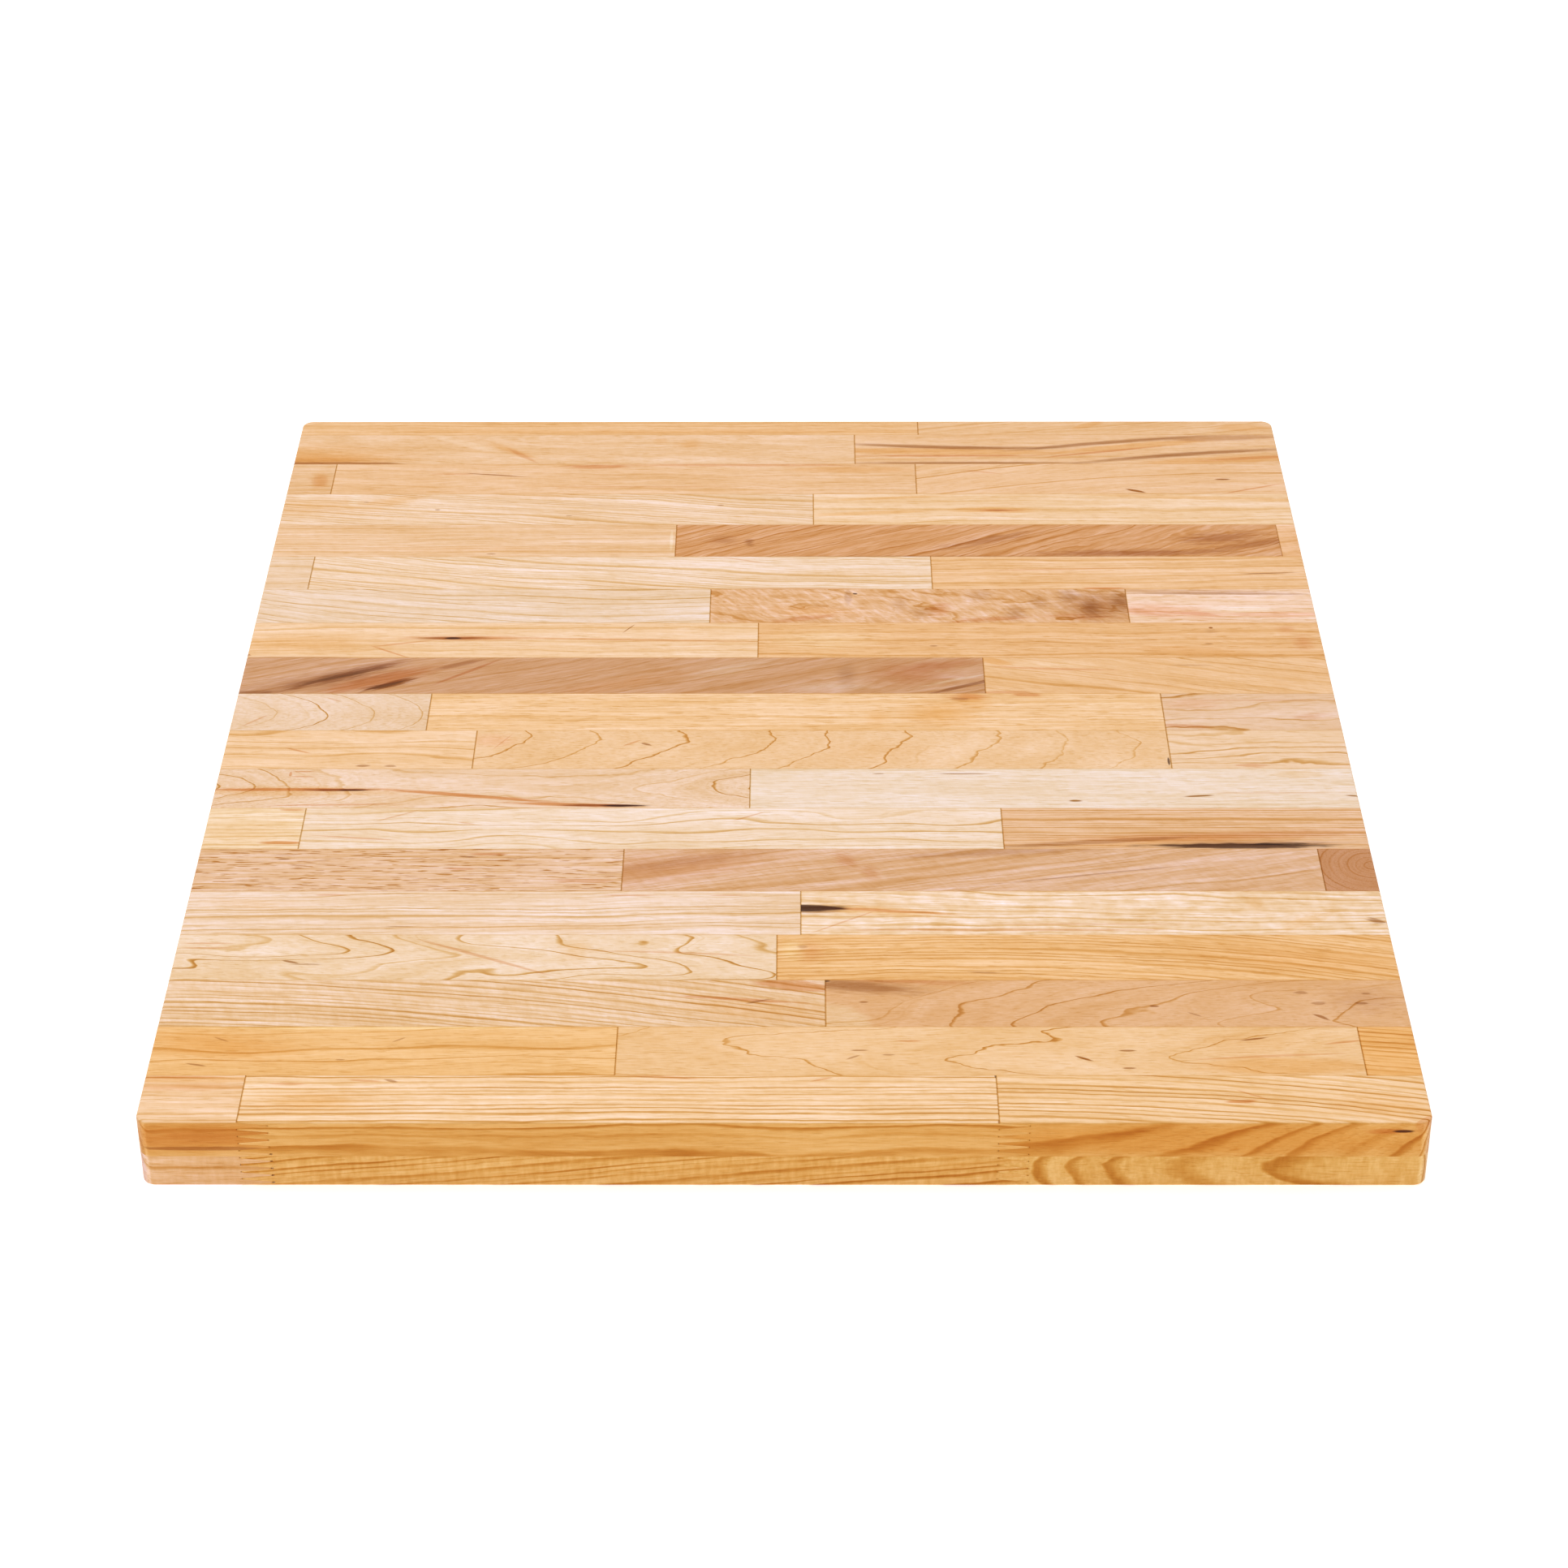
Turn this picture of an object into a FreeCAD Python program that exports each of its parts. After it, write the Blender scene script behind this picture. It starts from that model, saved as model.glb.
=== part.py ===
"""Maple butcher block top: an edge-glued slab of finger-jointed, two-ply staves.

Frame: +X runs along the staves to the right, +Y goes to the back edge, +Z is up. The origin is the
centre of the underside. Millimetres.

The slab is built as it is made. Two plies of maple are glued face to face into a blank. Blanks are
finger-jointed end to end into staves, the staves are glued edge to edge into a panel, and the panel
is trimmed to size, with its four corners rounded and its edges eased.
"""

import FreeCAD, Part
import os
import Sketcher

X_DIR = FreeCAD.Vector(1, 0, 0)
Z_DIR = FreeCAD.Vector(0, 0, 1)

doc = FreeCAD.newDocument("ButcherBlockTop")

# ---------------------------------------------------------------- driving dimensions

sizes = doc.addObject("Spreadsheet::Sheet", "Sizes")

DIMENSIONS = (
    ("panel_length", 609.6, "along the staves, 24 in"),
    ("panel_depth", 711.2, "across the staves, 28 in"),
    ("panel_thickness", 38.1, "1.5 in"),
    ("corner_radius", 6.5, "upright corners, in plan"),
    ("arris_radius", 1.2, "eased top and bottom edges"),
    ("stave_width", 38.6, "every stave before the panel is trimmed"),
    ("front_trim", 2.5, "taken off the front stave when the panel is trimmed"),
    ("lower_ply", 17.8, "height of the glue line between the two plies"),
    ("saw_allowance", 12, "spare length of a stave past each side of the panel"),
    ("finger_count", 9, "whole fingers in the thickness"),
    ("finger_length", 14.2, "depth of the finger joint"),
    ("finger_tip", 0.8, "width of the blunt tip"),
    ("tip_gap", 0.2, "room left past a finger tip"),
    ("starved_gap", 1.2, "unfilled room past a finger tip where the glue ran short"),
    ("starved_count", 5, "fingers with unfilled tips, counted from the underside"),
)

# Where the joints of each stave lie, from the left side of the panel. A joint's place is the line
# that it makes on the top face. Stave 1 is at the back edge and the last one at the front.
STAVE_JOINTS = (
    (387,),
    (347,),
    (27, 384),
    (321,),
    (239, 598),
    (26, 390),
    (261, 502),
    (289,),
    (416,),
    (108, 513),
    (136, 513),
    (286,),
    (51, 419),
    (221, 582),
    (313,),
    (301,),
    (325,),
    (224, 583),
    (48, 406),
)

# The one joint with unfilled finger tips: the first joint of the front stave.
STARVED_STAVE = len(STAVE_JOINTS)
STARVED_JOINT = 1


def joint_alias(stave, joint):
    return f"stave_{stave:02d}_joint_{joint}"


def fill_sheet():
    """Write every driving dimension as a plain number with an alias and a note."""
    rows = list(DIMENSIONS)
    for stave, places in enumerate(STAVE_JOINTS, start=1):
        for joint, place in enumerate(places, start=1):
            rows.append((joint_alias(stave, joint), place, "from the left side of the panel"))
    for line, (alias, value, note) in enumerate(rows, start=1):
        sizes.set(f"A{line}", alias)
        sizes.set(f"B{line}", str(value))
        sizes.set(f"C{line}", note)
        sizes.setAlias(f"B{line}", alias)


fill_sheet()
doc.recompute()


def size(alias):
    return float(sizes.get(alias))


def bound(obj, **expressions):
    """Bind properties to expressions; a double underscore in a name stands for a dot."""
    for name, expression in expressions.items():
        obj.setExpression(name.replace("__", "."), expression)


# ---------------------------------------------------------------- sketches

def origin_item(body, role):
    return next(item for item in body.Origin.OriginFeatures if item.Role == role)


def new_sketch(body, name, plane):
    sketch = body.newObject("Sketcher::SketchObject", name)
    sketch.AttachmentSupport = [(origin_item(body, plane), "")]
    sketch.MapMode = "FlatFace"
    return sketch


def closed_outline(sketch, corners):
    """Draw a closed outline whose corners are placed by expressions.

    corners: (rough x, rough y, expression for x, expression for y) for each corner.
    """
    count = len(corners)
    for here in range(count):
        ahead = (here + 1) % count
        start = FreeCAD.Vector(corners[here][0], corners[here][1], 0)
        end = FreeCAD.Vector(corners[ahead][0], corners[ahead][1], 0)
        sketch.addGeometry(Part.LineSegment(start, end), False)
    for here in range(count):
        sketch.addConstraint(Sketcher.Constraint("Coincident", here, 2, (here + 1) % count, 1))
    for here, (rough_x, rough_y, x_expression, y_expression) in enumerate(corners):
        for kind, rough, expression in (
            ("DistanceX", rough_x, x_expression),
            ("DistanceY", rough_y, y_expression),
        ):
            number = sketch.addConstraint(Sketcher.Constraint(kind, -1, 1, here, 1, rough))
            sketch.renameConstraint(number, f"{kind}_{here}")
            sketch.setExpression(f"Constraints.{kind}_{here}", expression)


# ---------------------------------------------------------------- the trimmed panel

def trimmed_panel():
    """The outline that the glued-up panel is cut and routed to."""
    body = doc.addObject("PartDesign::Body", "trimmed_panel")
    sketch = new_sketch(body, "panel_outline", "XY_Plane")
    half_x = size("panel_length") / 2
    half_y = size("panel_depth") / 2
    closed_outline(sketch, (
        (-half_x, -half_y, "-Sizes.panel_length / 2", "-Sizes.panel_depth / 2"),
        (half_x, -half_y, "Sizes.panel_length / 2", "-Sizes.panel_depth / 2"),
        (half_x, half_y, "Sizes.panel_length / 2", "Sizes.panel_depth / 2"),
        (-half_x, half_y, "-Sizes.panel_length / 2", "Sizes.panel_depth / 2"),
    ))
    pad = body.newObject("PartDesign::Pad", "panel_blank")
    pad.Profile = sketch
    bound(pad, Length="Sizes.panel_thickness")
    doc.recompute()

    upright = []
    for number, edge in enumerate(pad.Shape.Edges, start=1):
        if abs(edge.tangentAt(edge.FirstParameter).z) > 0.99:
            upright.append(f"Edge{number}")
    corners = body.newObject("PartDesign::Fillet", "rounded_corners")
    corners.Base = (pad, upright)
    bound(corners, Radius="Sizes.corner_radius")
    doc.recompute()

    broad = []
    for number, face in enumerate(corners.Shape.Faces, start=1):
        if abs(face.normalAt(0, 0).z) > 0.99:
            broad.append(f"Face{number}")
    eased = body.newObject("PartDesign::Fillet", "eased_edges")
    eased.Base = (corners, broad)
    bound(eased, Radius="Sizes.arris_radius")
    body.Tip = eased
    doc.recompute()
    return body


def ply_layer(panel, name, bottom, height):
    """The layer of the trimmed panel between two heights, given as expressions."""
    zone = doc.addObject("Part::Box", f"{name}_zone")
    bound(
        zone,
        Length="Sizes.panel_length",
        Width="Sizes.panel_depth",
        Height=height,
        Placement__Base__x="-Sizes.panel_length / 2",
        Placement__Base__y="-Sizes.panel_depth / 2",
        Placement__Base__z=bottom,
    )
    layer = doc.addObject("Part::Common", name)
    layer.Base = panel
    layer.Tool = zone
    return layer


panel = trimmed_panel()
lower_layer = ply_layer(panel, "lower_layer", "0", "Sizes.lower_ply")
upper_layer = ply_layer(
    panel, "upper_layer", "Sizes.lower_ply", "Sizes.panel_thickness - Sizes.lower_ply"
)

# ---------------------------------------------------------------- finger joints

PITCH = "Sizes.panel_thickness / Sizes.finger_count"
HALF_TIP = "Sizes.finger_tip / 2"
HALF_MOUTH = f"({PITCH} - Sizes.finger_tip) / 2"


def slot_outline(sketch, mouth, root, back, height):
    """Outline of one slot between two fingers, in the upright plane along the stave.

    mouth, root and back are expressions for x at the open end, at the end of the tapered part and
    at the end of the gap left past the mating tip. height is the expression for its centre line.
    The rough places only start the solver, on the right side of the final ones.
    """
    way = 1 if root == f"({mouth}) + Sizes.finger_length" else -1
    closed_outline(sketch, (
        (0, -2, mouth, f"{height} - {HALF_MOUTH}"),
        (14 * way, -0.4, root, f"{height} - {HALF_TIP}"),
        (15 * way, -0.4, back, f"{height} - {HALF_TIP}"),
        (15 * way, 0.4, back, f"{height} + {HALF_TIP}"),
        (14 * way, 0.4, root, f"{height} + {HALF_TIP}"),
        (0, 2, mouth, f"{height} + {HALF_MOUTH}"),
    ))


def cut_slots(body, name, mouth, root, back, height, count):
    """Pocket one slot across the stave's width and repeat it up the thickness."""
    sketch = new_sketch(body, f"{name}_outline", "XZ_Plane")
    slot_outline(sketch, mouth, root, back, height)
    slot = body.newObject("PartDesign::Pocket", f"{name}_slot")
    slot.Profile = sketch
    slot.Type = "ThroughAll"
    slot.SideType = "Symmetric"
    fingers = body.newObject("PartDesign::LinearPattern", name)
    fingers.Originals = [slot]
    fingers.Direction = (origin_item(body, "Z_Axis"), [""])
    fingers.Mode = "Spacing"
    bound(fingers, Offset=PITCH, Occurrences=count)
    body.Tip = fingers


def fill_short_tips(body, root):
    """Deepen the lowest slots of a joint whose finger tips weren't filled with glue."""
    sketch = new_sketch(body, "starved_outline", "XZ_Plane")
    first = f"{PITCH} / 2"
    end = f"{root} + Sizes.starved_gap"
    closed_outline(sketch, (
        (14, 1.7, root, f"{first} - {HALF_TIP}"),
        (15, 1.7, end, f"{first} - {HALF_TIP}"),
        (15, 2.5, end, f"{first} + {HALF_TIP}"),
        (14, 2.5, root, f"{first} + {HALF_TIP}"),
    ))
    hollow = body.newObject("PartDesign::Pocket", "starved_tip")
    hollow.Profile = sketch
    hollow.Type = "ThroughAll"
    hollow.SideType = "Symmetric"
    hollows = body.newObject("PartDesign::LinearPattern", "starved_tips")
    hollows.Originals = [hollow]
    hollows.Direction = (origin_item(body, "Z_Axis"), [""])
    hollows.Mode = "Spacing"
    bound(hollows, Offset=PITCH, Occurrences="Sizes.starved_count")
    body.Tip = hollows


# ---------------------------------------------------------------- blanks

PLACE_NAMES = {2: ("left", "right"), 3: ("left", "middle", "right")}


def blank_body(name, stave, left_joint, right_joint):
    """One blank before the panel is trimmed. Its own origin is its left end, at its front edge.

    left_joint and right_joint are the aliases of its joints, or None where it is a sawn end.
    """
    body = doc.addObject("PartDesign::Body", f"{name}_blank")
    from_left = f"Sizes.{left_joint}" if left_joint else "-Sizes.saw_allowance"
    if right_joint:
        to_right = f"Sizes.{right_joint} + Sizes.finger_length"
    else:
        to_right = "Sizes.panel_length + Sizes.saw_allowance"
    rows_ahead = len(STAVE_JOINTS) - stave
    bound(
        body,
        Placement__Base__x=f"{from_left} - Sizes.panel_length / 2",
        Placement__Base__y=f"{rows_ahead} * Sizes.stave_width - Sizes.front_trim - Sizes.panel_depth / 2",
    )

    long = f"{to_right} - ({from_left})"
    sketch = new_sketch(body, "section_along_stave", "XZ_Plane")
    closed_outline(sketch, (
        (0, 0, "0", "0"),
        (100, 0, long, "0"),
        (100, 30, long, "Sizes.panel_thickness"),
        (0, 30, "0", "Sizes.panel_thickness"),
    ))
    bar = body.newObject("PartDesign::Pad", "planed_bar")
    bar.Profile = sketch
    bar.Reversed = True
    bound(bar, Length="Sizes.stave_width")
    body.Tip = bar

    if left_joint:
        root = "(0) + Sizes.finger_length"
        cut_slots(
            body, "left_fingers",
            mouth="0",
            root=root,
            back=f"{root} + Sizes.tip_gap",
            height=f"{PITCH} / 2",
            count="Sizes.finger_count",
        )
        if left_joint == joint_alias(STARVED_STAVE, STARVED_JOINT):
            fill_short_tips(body, root)
    if right_joint:
        cut_slots(
            body, "right_fingers",
            mouth=long,
            root=f"{long} - Sizes.finger_length",
            back=f"{long} - Sizes.finger_length - Sizes.tip_gap",
            height="0",
            count="Sizes.finger_count + 1",
        )
    return body


def trimmed_blank(name, body):
    """The blank's two plies, trimmed with the panel, as one sub-part of two solids."""
    plies = []
    for ply, layer in (("lower", lower_layer), ("upper", upper_layer)):
        piece = doc.addObject("Part::Common", f"{name}_{ply}_ply")
        piece.Base = body
        piece.Tool = layer
        plies.append(piece)
    node = doc.addObject("Part::Compound", name)
    node.Label = name
    node.Links = plies
    return node


bodies = []
nodes = []
for stave, places in enumerate(STAVE_JOINTS, start=1):
    aliases = [joint_alias(stave, joint) for joint in range(1, len(places) + 1)]
    ends = [None] + aliases + [None]
    for number, place_name in enumerate(PLACE_NAMES[len(places) + 1]):
        name = f"stave_{stave:02d}_{place_name}"
        body = blank_body(name, stave, ends[number], ends[number + 1])
        bodies.append((body, ends[number], ends[number + 1]))
        nodes.append(trimmed_blank(name, body))

doc.recompute()

# ---------------------------------------------------------------- checks and export

VOLUME_TOLERANCE = 0.5


def slot_loss():
    """Volume that the slots of one joint take out of a blank."""
    taper = size("finger_length") * size("panel_thickness") / 2
    gaps = size("finger_count") * size("tip_gap") * size("finger_tip")
    return (taper + gaps) * size("stave_width")


def starved_loss():
    extra = size("starved_gap") - size("tip_gap")
    return size("starved_count") * extra * size("finger_tip") * size("stave_width")


def check_document():
    """Stop if any object failed, or if a cut missed its blank."""
    for obj in doc.Objects:
        if "Invalid" in obj.State or "Error" in obj.State:
            raise RuntimeError(f"{obj.Name} failed: {obj.State}")
    for node in nodes:
        if node.Shape.isNull() or not node.Shape.isValid():
            raise RuntimeError(f"{node.Label} has no valid shape")
        if len(node.Shape.Solids) < 2:
            raise RuntimeError(f"{node.Label} should hold two plies")
    for body, left_joint, right_joint in bodies:
        bar = next(item for item in body.Group if item.TypeId == "PartDesign::Pad")
        expected = bar.Shape.Volume - slot_loss() * bool(left_joint) - slot_loss() * bool(right_joint)
        if left_joint == joint_alias(STARVED_STAVE, STARVED_JOINT):
            expected -= starved_loss()
        if abs(body.Shape.Volume - expected) > VOLUME_TOLERANCE:
            raise RuntimeError(f"{body.Name} is {body.Shape.Volume:.1f}, not {expected:.1f} mm3")


def report_fill():
    """Print how much of the trimmed panel the blanks fill; the rest is the gaps at finger tips."""
    filled = sum(node.Shape.Volume for node in nodes)
    whole = panel.Shape.Volume
    print(f"{len(nodes)} nodes, {sum(len(node.Shape.Solids) for node in nodes)} solids")
    print(f"panel {whole:.0f} mm3, blanks {filled:.0f} mm3, gaps {whole - filled:.0f} mm3")


check_document()
report_fill()

os.makedirs("parts", exist_ok=True)
for node in nodes:
    node.Shape.exportStep(f"parts/{node.Label}.step")
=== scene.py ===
import bpy
from math import radians
from mathutils import Matrix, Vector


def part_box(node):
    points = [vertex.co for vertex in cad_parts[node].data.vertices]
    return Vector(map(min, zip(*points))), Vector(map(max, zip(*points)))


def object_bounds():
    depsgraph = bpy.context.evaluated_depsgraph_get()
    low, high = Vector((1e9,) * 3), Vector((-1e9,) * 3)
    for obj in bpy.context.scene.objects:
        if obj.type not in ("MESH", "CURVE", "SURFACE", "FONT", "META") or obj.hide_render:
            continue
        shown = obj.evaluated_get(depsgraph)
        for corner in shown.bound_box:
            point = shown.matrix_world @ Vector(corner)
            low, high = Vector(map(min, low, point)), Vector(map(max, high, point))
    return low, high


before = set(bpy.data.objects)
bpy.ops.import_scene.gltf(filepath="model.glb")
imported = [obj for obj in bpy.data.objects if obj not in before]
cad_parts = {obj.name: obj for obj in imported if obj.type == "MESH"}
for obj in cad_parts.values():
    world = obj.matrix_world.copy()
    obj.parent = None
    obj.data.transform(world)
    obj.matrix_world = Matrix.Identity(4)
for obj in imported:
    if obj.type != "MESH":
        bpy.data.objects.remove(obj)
cad_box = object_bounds()

# ------------------------------------------------------------------ stave 1, at the back edge
# Two honey-tan blanks of oiled hard maple, ripped to half width by the slab's last trim. Growth
# rings run round a pith line that leans through each blank, so one recipe gives arches, straight
# lines and end-grain arcs, and each blank only says where its pith lay and how it grew.

MM = 0.001
SLAB_LOW, SLAB_HIGH = cad_box
GLUE_HEIGHT = 17.8
FINGER_LENGTH = 14.2
FINGER_TIP = 0.8
FINGER_COUNT = 9
FINGER_PITCH = (SLAB_HIGH[2] - SLAB_LOW[2]) / MM / FINGER_COUNT

# What one whole unit of depth leaves of red, green and blue: deeper wood turns browner.
DEEPER = (0.61, 0.36, 0.1)


def oiled(red, green, blue):
    """A wood colour as read off a paint card, 0 to 255, as the linear colour a shader wants."""
    linear = []
    for part in (red, green, blue):
        part /= 255
        linear.append(part / 12.92 if part <= 0.04045 else ((part + 0.055) / 1.055) ** 2.4)
    return (*linear, 1.0)


class Bench:
    """Lays out shader nodes on one tree, so that a formula reads on one line."""

    def __init__(self, tree):
        self.tree = tree

    def node(self, kind, settings=None, **inputs):
        made = self.tree.nodes.new("ShaderNode" + kind)
        for name, value in (settings or {}).items():
            setattr(made, name, value)
        for name, value in inputs.items():
            self.feed(made.inputs[name.replace("_", " ")], value)
        return made

    def feed(self, socket, value):
        if isinstance(value, bpy.types.NodeSocket):
            self.tree.links.new(value, socket)
        else:
            socket.default_value = value

    def sum(self, operation, *values, clamp=False):
        made = self.tree.nodes.new("ShaderNodeMath")
        made.operation = operation
        made.use_clamp = clamp
        for socket, value in zip(made.inputs, values):
            self.feed(socket, value)
        return made.outputs[0]

    def ramp(self, value, low, high, start=0.0, end=1.0):
        made = self.tree.nodes.new("ShaderNodeMapRange")
        made.interpolation_type = "SMOOTHSTEP"
        for name, item in (
            ("Value", value), ("From Min", low), ("From Max", high), ("To Min", start), ("To Max", end)
        ):
            self.feed(made.inputs[name], item)
        return made.outputs[0]

    def vector(self, x, y, z):
        return self.node("CombineXYZ", X=x, Y=y, Z=z).outputs[0]

    def parts(self, vector):
        return self.node("SeparateXYZ", Vector=vector).outputs

    def noise(self, long, across, above, cell, detail=1.0, roughness=0.5):
        """Noise from -0.5 to 0.5, with cells of the given length, width and height in mm."""
        scaled = [self.sum("DIVIDE", part, size) for part, size in zip((long, across, above), cell)]
        where = self.vector(*scaled)
        made = self.node("TexNoise", Vector=where, Scale=1.0, Detail=detail, Roughness=roughness)
        return self.sum("SUBTRACT", made.outputs["Fac"], 0.5)

    def mix(self, share, first, second, kind="RGBA", blend="MIX"):
        made = self.tree.nodes.new("ShaderNodeMix")
        made.data_type = kind
        if kind == "RGBA":
            made.blend_type = blend
        wanted = [s for s in made.inputs if s.enabled and s.name in ("Factor", "A", "B")]
        for socket, value in zip(wanted, (share, first, second)):
            self.feed(socket, value)
        return next(s for s in made.outputs if s.enabled)


def recipe(name, inputs, outputs):
    """An empty node group with named sockets: (name, socket type, default) each."""
    group = bpy.data.node_groups.new(name, "ShaderNodeTree")
    for label, kind, default in inputs:
        socket = group.interface.new_socket(label, in_out="INPUT", socket_type="NodeSocket" + kind)
        socket.default_value = default
    for label, kind in outputs:
        group.interface.new_socket(label, in_out="OUTPUT", socket_type="NodeSocket" + kind)
    given = group.nodes.new("NodeGroupInput")
    result = group.nodes.new("NodeGroupOutput")
    return group, {socket.name: socket for socket in given.outputs}, result.inputs


def slab_place(b):
    """Where a point lies in the slab, in mm along, across and up."""
    where = b.node("TexCoord")
    place = b.node("VectorMath", {"operation": "SCALE"}, Vector=where.outputs["Object"], Scale=1 / MM)
    return place.outputs[0], where.outputs["Normal"]


def maple_recipe():
    """Colour and surface height of oiled maple, from the blank's pith line and its growth."""
    group, g, result = recipe(
        "maple",
        (
            ("Wood", "Color", (0.8, 0.5, 0.3, 1)),
            ("Lower wood", "Color", (0.8, 0.5, 0.3, 1)),
            ("Pith", "Vector", (0, 0, 0)),
            ("Lower pith", "Vector", (0, 0, 0)),
            ("Lean", "Vector", (0, 0, 0)),
            ("Lower lean", "Vector", (0, 0, 0)),
            ("Bow", "Vector", (0, 0, 0)),
            ("Ring width", "Float", 4.0),
            ("Line width", "Float", 1.1),
            ("Lines", "Float", 0.4),
            ("Bands", "Float", 0.45),
            ("Streaks", "Float", 0.6),
            ("Dashes", "Float", 0.15),
            ("Fibre", "Float", 0.45),
            ("Curl", "Float", 0.1),
            ("Lower curl", "Float", 0.3),
            ("Curl slant", "Float", 0.3),
            ("Curl width", "Float", 2.6),
            ("Wander", "Float", 4.0),
            ("Ripple", "Float", 1.0),
            ("Uneven", "Float", 0.35),
            ("Seed", "Float", 0.0),
            ("Left joint", "Float", -9999.0),
            ("Right joint", "Float", 9999.0),
            ("Front", "Float", 0.0),
            ("Back", "Float", 0.0),
        ),
        (("Colour", "Color"), ("Height", "Float")),
    )
    b = Bench(group)
    place, normal = slab_place(b)
    x, y, z = b.parts(place)
    facing = b.parts(normal)
    end_on = b.sum("ABSOLUTE", facing[0], clamp=True)
    flat_on = b.sum("ABSOLUTE", facing[2], clamp=True)

    # Below the glue line the wood comes from another board.
    lower = b.sum("LESS_THAN", z, GLUE_HEIGHT)
    pith = b.parts(b.mix(lower, g["Pith"], g["Lower pith"], "VECTOR"))
    lean = b.parts(b.mix(lower, g["Lean"], g["Lower lean"], "VECTOR"))
    wood = b.mix(lower, g["Wood"], g["Lower wood"])
    curl = b.mix(lower, g["Curl"], g["Lower curl"], "FLOAT")

    # Distance along, and out from, the leaning and bowed pith line. Bow is per 100 mm squared.
    bow = b.parts(g["Bow"])
    along = b.sum("SUBTRACT", x, pith[0])
    squared = b.sum("MULTIPLY", b.sum("MULTIPLY", along, along), 1 / 100**2)
    drift = b.sum("MULTIPLY_ADD", squared, bow[1], b.sum("MULTIPLY_ADD", along, lean[1], pith[1]))
    rise = b.sum("MULTIPLY_ADD", squared, bow[2], b.sum("MULTIPLY_ADD", along, lean[2], pith[2]))
    across = b.sum("SUBTRACT", y, drift)
    above = b.sum("SUBTRACT", z, rise)
    # Each blank, and each ply, is cut from its own stretch of wood.
    next_blank = 157.3
    next_ply = 331.0
    cut_from = b.sum("MULTIPLY_ADD", lower, next_ply, b.sum("MULTIPLY", g["Seed"], next_blank))
    long = b.sum("ADD", along, cut_from)
    broad = b.noise(long, across, above, (95, 24, 24))
    small = b.noise(long, across, above, (16, 7, 7), detail=2.0)
    reach = b.node("VectorMath", {"operation": "LENGTH"}, Vector=b.vector(0.0, across, above))
    radius = b.sum("MULTIPLY_ADD", broad, g["Wander"], reach.outputs["Value"])
    radius = b.sum("MULTIPLY_ADD", small, g["Ripple"], radius)

    # Growth rings: each ends in a thin darker line, heavier in some years and along some stretches.
    ring = b.sum("DIVIDE", radius, g["Ring width"])
    ring = b.sum("MULTIPLY_ADD", b.sum("SINE", b.sum("MULTIPLY", ring, 1.7)), g["Uneven"], ring)
    part = b.sum("FRACT", ring)
    number = b.sum("FLOOR", ring)
    share = b.sum("DIVIDE", g["Line width"], g["Ring width"])
    opens = b.ramp(part, b.sum("MULTIPLY_ADD", share, -1.5, 1.0), b.sum("MULTIPLY_ADD", share, -0.4, 1.0))
    closes = b.ramp(part, b.sum("MULTIPLY_ADD", share, -0.4, 1.0), 1.0, 1.0, 0.0)
    own = b.node("TexWhiteNoise", {"noise_dimensions": "2D"}, Vector=b.vector(number, g["Seed"], 0.0))
    patchy = b.noise(long, b.sum("MULTIPLY", number, 3.1), 0.0, (45, 1, 1), detail=2.0)
    heavy = b.ramp(b.sum("ADD", own.outputs["Value"], b.sum("MULTIPLY", patchy, 1.6)), 0.0, 1.0, 0.3, 1.2)
    line = b.sum("MULTIPLY", b.sum("MULTIPLY", opens, closes), heavy)

    # Bands and streaks of tone follow the rings; fibres and pore dashes follow the grain.
    bands = b.noise(long, radius, across, (150, 5.5, 70), detail=2.0)
    streaks = b.noise(long, radius, across, (42, 1.2, 30), detail=2.0, roughness=0.6)
    veins = b.ramp(b.noise(long, radius, above, (60, 0.8, 40)), 0.12, 0.3)
    fibre = b.noise(long, across, above, (12, 0.75, 0.75), detail=2.0, roughness=0.65)
    dashes = b.ramp(b.noise(long, across, above, (10, 0.8, 0.8)), 0.09, 0.2)

    # Curly figure: bars of light and shade that lie across the grain.
    slanted = b.sum("MULTIPLY_ADD", across, g["Curl slant"], long)
    slanted = b.sum("DIVIDE", slanted, g["Curl width"])
    bars = b.noise(slanted, across, above, (1, 8, 8), detail=2.0, roughness=0.6)
    mottle = b.noise(long, across, above, (70, 20, 20))

    # Edge grain and end grain drink more oil than the broad face, so they are deeper in colour; part of this
    # darkening is painted shade, which makes the side and end faces darker than the top, as if they were less
    # lit.
    edge_oil_and_shade = b.ramp(flat_on, 0.25, 0.9, 0.35, 0.0)
    end = b.ramp(end_on, 0.4, 0.9, 0.0, 0.15)
    depth = b.sum("ADD", edge_oil_and_shade, end)
    for amount, pattern in (
        (g["Bands"], bands), (g["Streaks"], streaks), (g["Fibre"], fibre), (curl, bars),
        (g["Lines"], line), (g["Dashes"], dashes), (0.12, veins), (0.25, mottle),
    ):
        depth = b.sum("MULTIPLY_ADD", pattern, amount, depth)

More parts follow.
